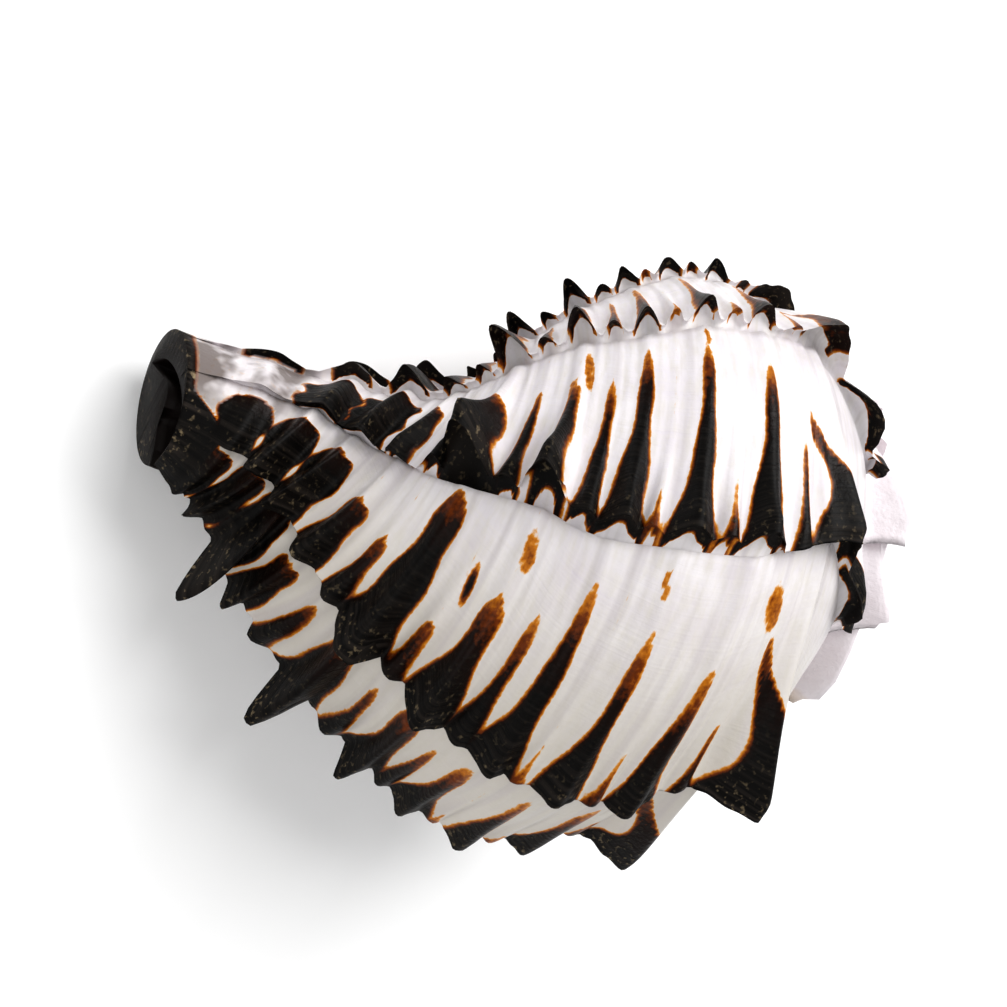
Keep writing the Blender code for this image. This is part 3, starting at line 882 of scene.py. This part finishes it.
# %% Helpers for numbers, quads and strips
MARKS = ("pigment", "wear", "lining", "bleach", "late")
blocks = {name: [] for name in ("place", "map") + MARKS}
quads = []
triangles = []


def add_points(grid, **marks):
    """Adds a grid's points with their marks and returns their numbers in the same layout."""
    shape = grid.shape[:-1]
    start = sum(len(block) for block in blocks["place"])
    blocks["place"].append(grid.reshape(-1, 3))
    for name in MARKS:
        blocks[name].append(np.broadcast_to(marks.get(name, 0.0), shape).reshape(-1))
    blocks["map"].append(np.broadcast_to(marks.get("map", 0.0), shape + (2,)).reshape(-1, 2))
    return start + np.arange(shape[0] * shape[1]).reshape(shape)


def add_quads(numbers):
    """One quad per cell of a grid of numbers: down the column, then across to the next."""
    corners = numbers[:-1, :-1], numbers[:-1, 1:], numbers[1:, 1:], numbers[1:, :-1]
    quads.append(np.stack(corners, axis=-1).reshape(-1, 4))


def add_triangles(strip):
    """Keeps the triangles that have three different corners."""
    a, b, c = strip.T
    triangles.append(strip[(a != b) & (b != c) & (c != a)])


def add_strip(first, first_way, second, second_way):
    """Joins two edges: each segment of either gets the other edge's point beside its middle.

    The point's number is the count of the other edge's segments whose middles come before.
    """
    first_middle = 0.5 * (first_way[:-1] + first_way[1:])
    second_middle = 0.5 * (second_way[:-1] + second_way[1:])
    beside_first = second[np.searchsorted(second_middle, first_middle)]
    beside_second = first[np.searchsorted(first_middle, second_middle, side="right")]
    add_triangles(np.stack([first[:-1], first[1:], beside_first], axis=-1))
    add_triangles(np.stack([beside_second, second[1:], second[:-1]], axis=-1))


# %% [markdown]
# The spire comes first, with each turn's top row taken from the turn before. Then the last turn,
# the strips that join the two, and a fan of triangles that closes the tip.

# %% Join the turns
HALF_BLEACHED = 0.45
PAINTED = 0.2
# painted shade on the youngest part: where it starts and the angle over which it fades in
LATE_SHADE_FROM = LIP_ANGLES[LIP_C] - 0.15
LATE_SHADE_OVER = 0.9
RIM_WEAR_START = 2.55
RIM_WEAR_FADE = 0.09
TIP_ABOVE_RING = 0.03

turn_size = len(spire_columns)
spire_numbers = np.zeros(spire_grid.shape[:2], int)
turn_marks = dict(wear=1.0, bleach=1.0, pigment=-1.0)
spire_map = np.concatenate([growth_map(spire_columns, spire_rows)] * SPIRE_TURNS)[:-1]
spire_numbers[:turn_size] = add_points(
    spire_grid[:turn_size], map=spire_map[:turn_size], **turn_marks)
spire_numbers[turn_size:, 1:] = add_points(
    spire_grid[turn_size:, 1:], map=spire_map[turn_size:, 1:], **turn_marks)
for turn in range(1, SPIRE_TURNS):
    above = spire_numbers[(turn - 1) * turn_size:turn * turn_size, -1]
    now = spire_numbers[turn * turn_size:(turn + 1) * turn_size]
    now[:, 0] = above[:len(now)]
add_quads(spire_numbers)

body_numbers = np.zeros(body_grid.shape[:2], int)
rim_wear = smooth_step((body_rows - RIM_WEAR_START) / RIM_WEAR_FADE)
body_numbers[:, 1:] = add_points(
    body_grid[:, 1:],
    pigment=body_pigment[:, 1:],
    wear=np.maximum(wear(all_columns, body_rows[1:]), rim_wear[1:]),
    bleach=HALF_BLEACHED * patch[:, 1:] * (body_pigment[:, 1:] < PAINTED),
    late=smooth_step((turn_angle - LATE_SHADE_FROM) / LATE_SHADE_OVER),
    map=growth_map(all_columns, body_rows[1:]),
)
last_start = last_early * turn_size
body_numbers[0, 0] = spire_numbers[last_start - 1, -1]
body_numbers[-1, 0] = body_numbers[0, body_cover]
seam = np.concatenate([spire_numbers[last_start - 1:, -1], body_numbers[-1:, 0]])
seam_way = np.concatenate([all_columns[:1, 0], spire_columns[:-1, 0], all_columns[-1:, 0]])
add_strip(body_numbers[:, 1], all_columns[:, 0], seam, seam_way)
add_strip(spire_numbers[-1], spire_rows, body_numbers[0, under_next_turn], body_rows[under_next_turn])
add_quads(body_numbers[:, 1:])

loop = np.concatenate([spire_numbers[0], spire_numbers[turn_size - 1:0:-1, 0]])
ring = np.concatenate(blocks["place"])[loop]
tip = np.array([[[ring[:, 0].mean(), ring[:, 1].mean(), ring[:, 2].max() + TIP_ABOVE_RING]]])
tip_number = add_points(tip, **turn_marks)[0, 0]
add_triangles(np.stack([np.roll(loop, -1), loop, np.full(len(loop), tip_number)], axis=-1))
print("points so far:", sum(len(block) for block in blocks["place"]))

# %% [markdown]
# The mouth's two sides meet along the seam and at the back. One strip of quads is the edge of
# the lip itself, and a last strip closes the oblique end of the canal between rim and bore.

# %% Join the mouth and the canal's end
INSIDE_WHITE = -1.0
INSIDE_BLACK = 1.2
BORE_BLACKENS_OVER = 0.15
LIP_EDGE_PALER = 0.2
BORE_TURNS = math.radians(255.0)

core_numbers = np.zeros(core_grid.shape[:2], int)
core_numbers[0] = body_numbers[0, body_cover + 1:]
blackens = smooth_step((body_rows - AT["canal lower"]) / BORE_BLACKENS_OVER)
bore_pigment = INSIDE_WHITE + (INSIDE_BLACK - INSIDE_WHITE) * blackens
core_numbers[1:] = add_points(
    core_grid[1:], pigment=bore_pigment[body_cover + 1:], lining=1.0)
lining_numbers = np.zeros(lining_grid.shape[:2], int)
lip_pigment = np.tile(bore_pigment, (len(lining_grid), 1))
lip_pigment[0] = np.maximum(body_pigment[-1] - LIP_EDGE_PALER, bore_pigment)
lining_numbers[:, 1:] = add_points(lining_grid[:, 1:], pigment=lip_pigment[:, 1:], lining=1.0)
lining_numbers[:, 0] = core_numbers[:, 0]
add_quads(core_numbers[::-1])
add_quads(lining_numbers)
add_quads(np.stack([body_numbers[-1], lining_numbers[0]]))

back_wall = lining_numbers[-1]
arch = back_wall[1:body_cover + 2]
corner = np.full(len(arch) - 1, back_wall[0])
add_triangles(np.stack([corner, arch[:-1], arch[1:]], axis=-1))
add_quads(np.stack([back_wall[body_cover + 1:], core_numbers[-1]]))

rim = body_numbers[::-1, -1]
rim_way = all_columns[-1, 0] - all_columns[::-1, 0]
bore = np.concatenate([lining_numbers[:, -1], core_numbers[::-1, -1]])
core_way = np.linspace(BORE_TURNS, FULL_TURN, MOUTH_COLUMNS + 1)
bore_way = np.concatenate([mouth_back[:, 0], core_way])
add_strip(rim, rim_way, bore, bore_way)
all_quads = np.concatenate(quads)
all_triangles = np.concatenate(triangles)
print("triangles in all:", 2 * len(all_quads) + len(all_triangles))

# %% [markdown]
# ## Onto its mouth
#
# So far the shell stands on its canal. A real one on a table rolls onto its mouth, so the whole
# coil is turned and then moved until the solid part's frame fits it: the same three turns and
# the same shift as the solid has.

# %% Resting place and the mesh
REST_TURN = [math.radians(angle) for angle in (72.3, -23.7, -174.5)]
REST_SHIFT = np.array([0.0078096, -0.0669073, -0.0428583])
turn_to_rest = np.array(Euler(REST_TURN).to_matrix())
resting = SHOULDER_RADIUS * np.concatenate(blocks["place"]) @ turn_to_rest.T - REST_SHIFT
# the lowest spine rests its worn tip on the table
resting[:, 2] = np.maximum(resting[:, 2], 0.0)

shell_mesh = bpy.data.meshes.new("grown_shell")
shell_mesh.from_pydata(resting, [], all_quads.tolist() + all_triangles.tolist())
shell_mesh.shade_smooth()
for name in MARKS:
    mark = shell_mesh.attributes.new(name, "FLOAT", "POINT")
    mark.data.foreach_set("value", np.concatenate(blocks[name]).astype(np.float32))
corner_points = np.zeros(len(shell_mesh.loops), int)
shell_mesh.loops.foreach_get("vertex_index", corner_points)
corner_map = np.concatenate(blocks["map"])[corner_points]
growth_uv = shell_mesh.uv_layers.new(name="growth")
growth_uv.uv.foreach_set("vector", corner_map.astype(np.float32).ravel())
print("mesh measures", np.round(1000 * (resting.max(axis=0) - resting.min(axis=0)), 1), "mm")

# %% [markdown]
# ## Shell material
#
# A sea shell is aragonite, a form of chalk, laid down in thin layers by a living skin. Fresh
# shell is nearly white, smooth and glossy like glazed porcelain. The pigment sits in the top
# layer and shines as well, but the black blocks carry many fine growth lines that break the
# gloss. Aragonite bends light a little more than glass does, with an IOR near 1.53 to 1.68.

# %% Colour and node helpers
def from_hex(text):
    """sRGB hex colour turned to linear: a straight part near black and a power of 2.4 above."""
    share = np.array([int(text[k:k + 2], 16) for k in (1, 3, 5)]) / 255.0
    linear = np.where(share <= 0.04045, share / 12.92, ((share + 0.055) / 1.055) ** 2.4)
    return (*linear.tolist(), 1.0)


def node(tree, kind, settings=None, **sockets):
    """Adds a node of a kind, sets its settings, and gives each socket its value or its link."""
    made = tree.nodes.new("ShaderNode" + kind)
    for name, value in (settings or {}).items():
        setattr(made, name, value)
    for name, value in sockets.items():
        key = int(name[1:]) if name[1:].isdigit() else name.replace("_", " ")
        if isinstance(value, bpy.types.NodeSocket):
            tree.links.new(value, made.inputs[key])
        else:
            made.inputs[key].default_value = value
    return made


def ramp(tree, factor, *stops):
    """A colour ramp through the given pairs of place and hex colour."""
    made = node(tree, "ValToRGB", Fac=factor)
    made.color_ramp.interpolation = "LINEAR"
    for _ in range(len(stops) - 2):
        made.color_ramp.elements.new(0.5)
    for element, (position, colour) in zip(made.color_ramp.elements, stops):
        element.position = position
        element.color = from_hex(colour)
    return made.outputs["Color"]


print("helper check, middle grey:", round(from_hex("#808080")[0], 3))

# %% [markdown]
# The pigment number meets two kinds of noise before it becomes a colour: a fine one that frays
# the stripes' edges, and one drawn out along the cords that makes the amber starts feathery.
# The colour then runs from white through amber and brown to black, as the pigment thickens.
# White shell is never one white: growth lines cross the cords, grey streaks along the ribs are
# painted shade, and the youngest part gets a painted shade, greyer and warmer. Tips of spines are
# chipped, and the spire is dull, stained and pitted.

# %% Colours and pattern sizes of the shell
SHELL_COLOURS = {
    "fresh white": "#E9E5E9",
    "lilac white": "#D6CFD7",
    "cream feathers": "#D2CCC0",
    "cream growth lines": "#E4DFD8",
    # painted shade on the youngest part of the last turn
    "painted shade grey": "#C6C0B4",
    # painted shade: grey streaks along the ribs
    "painted rib shade": "#BDB6B8",
    # painted sheen: grey mixed onto the black where growth lines cross it
    "sheen on black": "#4A423C",
    "chipped tip": "#B9A583",
    "chalk": "#EEE9EC",
    "lilac chalk": "#DFD4D8",
    "tan stain": "#CDB48C",
    "weathered black": "#6A605B",
    "porcelain": "#F6F3F2",
    "black porcelain": "#100806",
}
STRIPE_STOPS = (
    (0.0, "#D9A04A"), (0.16, "#B9701A"), (0.36, "#6E330A"), (0.60, "#1A0B06"), (1.0, "#080605"))
# turns per metre: grains 0.7 mm wide, pits 2.4 mm, patches 6 mm and stains 13 mm
GRAIN, PITS, PATCHES, STAINS = 1400.0, 420.0, 160.0, 75.0
# turns per millimetre of the growth map, along the growth and across it: growth lines 0.4 mm
# apart and 20 mm long, feathers 0.9 mm wide and 3 mm long, painted rib shade 2 mm wide and 50 mm long
GROWTH_LINES, FEATHERS, RIB_SHADE = (2.5, 0.05, 1.0), (0.30, 1.1, 1.0), (0.02, 0.55, 1.0)
PAINT = {name: from_hex(text) for name, text in SHELL_COLOURS.items()}
print("the shell has", len(PAINT), "plain colours and", len(STRIPE_STOPS), "along a stripe")


# %% Grown shell: glossy white with black stripes
def grown_shell():
    """Porcelain-like aragonite, striped with pigment, chipped at the tips, chalky on the spire."""
    material = bpy.data.materials.new("grown aragonite, white with black stripes")
    material.use_nodes = True
    tree = material.node_tree
    surface = tree.nodes["Principled BSDF"]
    place = node(tree, "TexCoord").outputs["Object"]
    lines = node(tree, "UVMap", dict(uv_map="growth")).outputs["UV"]
    marks = {
        name: node(tree, "Attribute", dict(attribute_name=name)).outputs["Fac"]
        for name in MARKS
    }

    def sums(operation, first, second, third=0.5):
        """Result of a sum on two or three numbers."""
        return node(tree, "Math", dict(operation=operation), _0=first, _1=second, _2=third).outputs[0]

    def clouds(vector, scale, detail, stretch=(1.0, 1.0, 1.0)):
        """Noise of a scale in turns per unit of the vector, after a stretch of its axes."""
        placed = node(tree, "Mapping", Vector=vector, Scale=stretch).outputs[0]
        made = node(tree, "TexNoise", dict(noise_dimensions="3D"), Vector=placed, Scale=scale,
                    Detail=detail)
        return made.outputs["Fac"]

    def between(value, low, high):
        """Share of the way from a low to a high value, never below zero or above one."""
        made = node(tree, "MapRange", dict(clamp=True), Value=value, From_Min=low, From_Max=high)
        return made.outputs[0]

    def mixed(factor, first, second):
        """Colour between two colours."""
        settings = dict(data_type="RGBA", blend_type="MIX")
        return node(tree, "Mix", settings, _0=factor, _6=first, _7=second).outputs[2]

    growth_lines = clouds(lines, 1.0, 4.0, GROWTH_LINES)
    feathers = clouds(lines, 1.0, 3.0, FEATHERS)
    # streaks along the ribs for their painted shade
    rib_shade = clouds(lines, 1.0, 2.0, RIB_SHADE)
    grain = clouds(place, GRAIN, 4.0)
    pits = clouds(place, PITS, 5.0)
    patches = clouds(place, PATCHES, 3.0)
    stains = clouds(place, STAINS, 4.0)

    # depth in the stripe, with frayed edges
    frayed = sums("MULTIPLY_ADD", feathers, 0.30, sums("MULTIPLY_ADD", grain, 0.5, -0.40))
    depth = sums("ADD", marks["pigment"], frayed)
    coloured = between(depth, -0.06, 0.08)
    black_part = between(depth, BLACK_FROM, 1.1)

    # fresh white with its feathers and growth lines, then painted shade on the youngest part and along
    # the ribs
    cloudy = sums("MULTIPLY_ADD", patches, 2.4, -0.8)
    white = mixed(cloudy, PAINT["fresh white"], PAINT["lilac white"])
    white = mixed(sums("MULTIPLY_ADD", feathers, 1.8, -0.8), white, PAINT["cream feathers"])
    white = mixed(sums("MULTIPLY_ADD", growth_lines, 0.8, -0.2), white, PAINT["cream growth lines"])
    # painted shade: the youngest part of the last turn is painted greyer and warmer
    white = mixed(sums("MULTIPLY", marks["late"], 0.75), white, PAINT["painted shade grey"])
    # painted shade: grey streaks along the ribs, where their shading falls
    white = mixed(sums("MULTIPLY", between(rib_shade, 0.50, 0.72), 0.55), white, PAINT["painted rib shade"])

    # stripes, with a painted sheen and grey scuffs where growth lines cross the black, stronger near
    # the worn tips
    stripe = ramp(tree, depth, *STRIPE_STOPS)
    # painted sheen: grey over the black along the growth lines
    painted_sheen = node(tree, "Clamp", Value=sums("MULTIPLY_ADD", growth_lines, 3.0, -1.3)).outputs[0]
    painted_sheen = sums("MULTIPLY", painted_sheen, black_part)
    painted_sheen_share = sums("MULTIPLY_ADD", marks["wear"], 0.42, 0.13)
    stripe = mixed(sums("MULTIPLY", painted_sheen, painted_sheen_share), stripe, PAINT["sheen on black"])
    colour = mixed(coloured, white, stripe)

    # chips, then chalk with tan stains, then the mottle of the half bleached patch
    chipped = sums("MULTIPLY", sums("MULTIPLY_ADD", grain, 3.0, -1.75), marks["wear"])
    chipped = node(tree, "Clamp", Value=chipped).outputs[0]
    colour = mixed(chipped, colour, PAINT["chipped tip"])
    chalk = mixed(patches, PAINT["chalk"], PAINT["lilac chalk"])
    chalk = mixed(sums("MULTIPLY", between(stains, 0.60, 0.74), 0.7), chalk, PAINT["tan stain"])
    colour = mixed(marks["bleach"], colour, chalk)
    half_bleached = sums("MULTIPLY", marks["bleach"], sums("SUBTRACT", 1.0, marks["bleach"]))
    mottle = sums("MULTIPLY", between(patches, 0.42, 0.56), 3.6)
    mottle = sums("MULTIPLY", half_bleached, mottle)
    colour = mixed(mottle, colour, PAINT["weathered black"])
    porcelain = mixed(coloured, PAINT["porcelain"], PAINT["black porcelain"])
    colour = mixed(marks["lining"], colour, porcelain)
    tree.links.new(colour, surface.inputs["Base Color"])

    # duller on growth lines, on black and where worn
    rough = sums("MULTIPLY_ADD", growth_lines, 0.25, 0.20)
    rough = sums("MULTIPLY_ADD", black_part, 0.15, rough)
    rough = sums("MULTIPLY_ADD", marks["wear"], 0.15, rough)
    tree.links.new(rough, surface.inputs["Roughness"])
    surface.inputs["IOR"].default_value = 1.55
    surface.inputs["Specular IOR Level"].default_value = 0.10

    # relief a quarter of a millimetre deep: lines, deeper in black, then grain and pits in chalk
    line_height = sums("MULTIPLY_ADD", black_part, 0.8, 0.35)
    grain_height = sums("MULTIPLY", grain, sums("MULTIPLY_ADD", marks["bleach"], 0.8, 0.35))
    raised = sums("MULTIPLY_ADD", growth_lines, line_height, grain_height)
    raised = sums("MULTIPLY_ADD", sums("MULTIPLY", pits, marks["bleach"]), 2.5, raised)
    relief = node(tree, "Bump", Height=raised, Strength=0.5, Distance=0.00025)
    tree.links.new(relief.outputs[0], surface.inputs["Normal"])
    return material


shell_mesh.materials.append(grown_shell())
shell = bpy.data.objects.new("grown_shell", shell_mesh)
bpy.context.scene.collection.objects.link(shell)
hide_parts("murex_shell")
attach(shell, "root")
print("shell has", len(shell_mesh.polygons), "faces")

# %% [markdown]
# ## Floor, light and camera
#
# A plain white table and soft light from above let the shell's own relief do the work. The key
# light comes from the spire's side, so the lower left of the shell falls into a soft shade. The
# plain view keeps the table white, and a higher contrast sets the blacks off from the whites.

# %% Table and lights
def plain_white(name, colour, roughness):
    """One even finish."""
    material = bpy.data.materials.new(name)
    material.use_nodes = True
    surface = material.node_tree.nodes["Principled BSDF"]
    surface.inputs["Base Color"].default_value = from_hex(colour)
    surface.inputs["Roughness"].default_value = roughness
    return material


FLOOR_HALF = 3.0
floor_mesh = bpy.data.meshes.new("floor")
floor_corners = FLOOR_HALF * np.array([(-1, -1, 0), (1, -1, 0), (1, 1, 0), (-1, 1, 0)])
floor_mesh.from_pydata(floor_corners, [], [(0, 1, 2, 3)])
floor_mesh.materials.append(plain_white("matt white table", "#FAFAFA", 0.7))
floor = bpy.data.objects.new("floor", floor_mesh)
bpy.context.scene.collection.objects.link(floor)

SHELL_MIDDLE = Vector((0.0, 0.0, 0.03))
ROOM_BRIGHTNESS = 0.44
# light: place and size in metres, power in watts
LIGHTS = {
    "key light": ((-0.45, 0.30, 0.75), 0.60, 6.6),
    "fill light": ((0.15, -0.50, 0.60), 0.7, 1.5),
}


def soft_light(name, place, size, power):
    """A square area light that faces the shell's middle."""
    light = bpy.data.lights.new(name, "AREA")
    light.energy = power
    light.size = size
    holder = bpy.data.objects.new(name, light)
    holder.location = place
    towards = SHELL_MIDDLE - holder.location
    holder.rotation_euler = towards.to_track_quat("-Z", "Y").to_euler()
    bpy.context.scene.collection.objects.link(holder)


for name, settings in LIGHTS.items():
    soft_light(name, *settings)
world = bpy.data.worlds.new("pale room")
world.use_nodes = True
world.node_tree.nodes["Background"].inputs["Color"].default_value = (1.0, 1.0, 1.0, 1.0)
world.node_tree.nodes["Background"].inputs["Strength"].default_value = ROOM_BRIGHTNESS
bpy.context.scene.world = world
bpy.context.scene.view_settings.view_transform = "Standard"
bpy.context.scene.view_settings.look = "Medium High Contrast"
print("lights:", ", ".join(LIGHTS))

# %% [markdown]
# The camera looks down at the shell from above its canal side, turned a quarter, as a
# photographer would who walks round a table. Its place and its three axes come from fitting the
# part's own points to the picture.

# %% Camera
CAMERA_PLACE = (-0.008263, -0.085428, 0.123606)
CAMERA_RIGHT = (-0.07563, 0.80249, 0.59185)
CAMERA_UP = (-0.99714, -0.06115, -0.04450)
CAMERA_BACK = (0.00048, -0.59352, 0.80482)
LENS = 30.66
SENSOR_WIDTH = 36.0
NEAR_CLIP = 0.005
camera_data = bpy.data.cameras.new("camera")
camera_data.lens = LENS
camera_data.sensor_width = SENSOR_WIDTH
camera_data.clip_start = NEAR_CLIP
camera = bpy.data.objects.new("camera", camera_data)
camera_axes = Matrix((CAMERA_RIGHT, CAMERA_UP, CAMERA_BACK)).transposed().to_4x4()
camera.matrix_world = Matrix.Translation(CAMERA_PLACE) @ camera_axes
bpy.context.scene.collection.objects.link(camera)
bpy.context.scene.camera = camera
print("camera is", round(1000 * Vector(CAMERA_PLACE).length), "mm from the origin")
